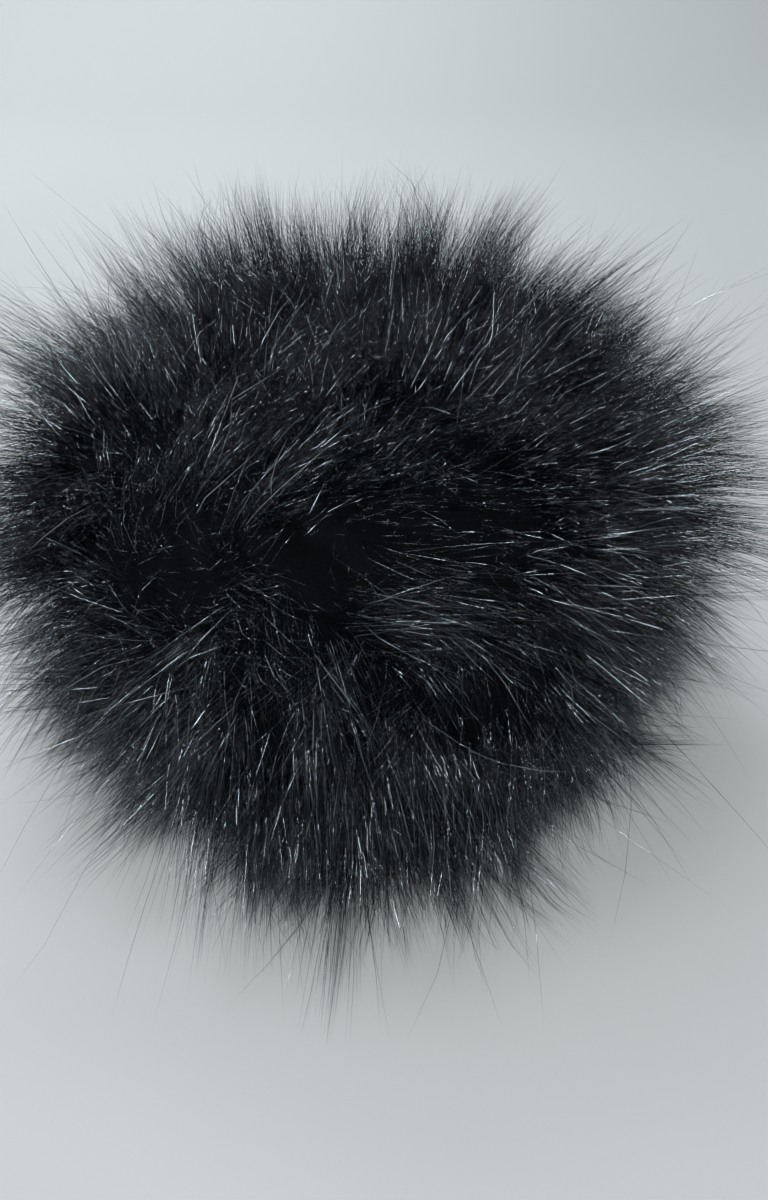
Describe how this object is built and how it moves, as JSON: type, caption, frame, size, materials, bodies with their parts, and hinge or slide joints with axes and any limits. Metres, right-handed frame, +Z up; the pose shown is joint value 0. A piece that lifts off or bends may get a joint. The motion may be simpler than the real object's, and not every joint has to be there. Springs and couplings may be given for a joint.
{
  "type": "fur hat",
  "caption": "Round brimless winter hat of long black fur: a furred side band and a low domed furred crown, open underneath for the head.",
  "frame": {"origin": "on the surface that the hat rests on, under the middle of the hat", "axes": "+Z up through the crown, -Y towards the wearer's face, +X towards the wearer's left"},
  "size_m": [0.2944, 0.3292, 0.1746],
  "materials": {
    "backing_cloth": "black knitted fur backing, matt",
    "fur": "long glossy black pile fur"
  },
  "bodies": {
    "root": {"side_band": "backing_cloth", "crown_panel": "backing_cloth", "band_fur": "fur", "crown_fur": "fur"}
  },
  "joints": []
}
